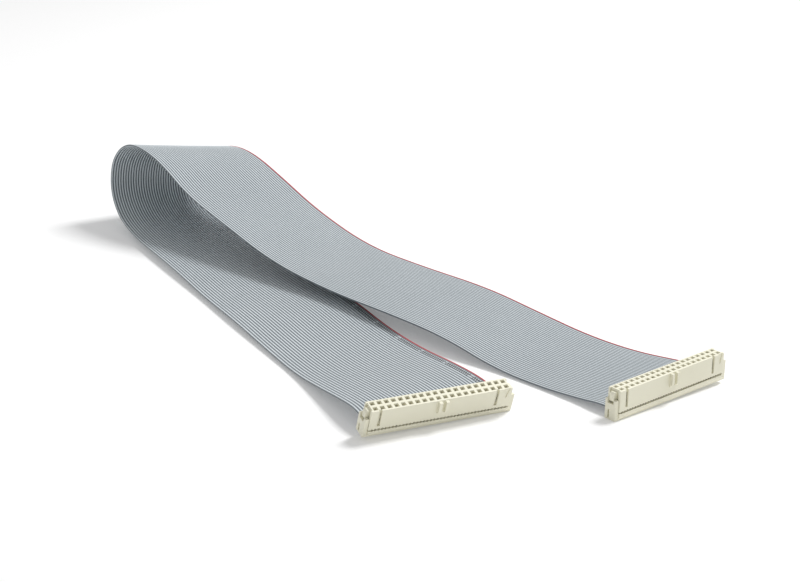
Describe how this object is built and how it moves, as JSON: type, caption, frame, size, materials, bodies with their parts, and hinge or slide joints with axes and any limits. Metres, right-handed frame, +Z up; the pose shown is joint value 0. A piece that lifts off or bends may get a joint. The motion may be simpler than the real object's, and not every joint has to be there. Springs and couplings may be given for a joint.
{
  "type": "ribbon cable",
  "caption": "Flat ribbon cable folded back over itself in one loop, with a press-on socket connector on each end.",
  "frame": {"origin": "on the floor under the middle of the whole cable's box", "axes": "+Y from the connectors towards the loop, +X across the ribbon towards the red wire, +Z up"},
  "size_m": [0.1337, 0.3114, 0.0387],
  "materials": {
    "ribbon": "soft grey vinyl insulation with one red edge wire",
    "housing": "moulded cream plastic",
    "contacts": "tinned copper-alloy stampings"
  },
  "bodies": {
    "root": {"ribbon": "ribbon", "left_housing": "housing", "left_cover": "housing", "left_front_contacts": "contacts", "left_rear_contacts": "contacts", "right_housing": "housing", "right_cover": "housing", "right_front_contacts": "contacts", "right_rear_contacts": "contacts"}
  },
  "joints": []
}
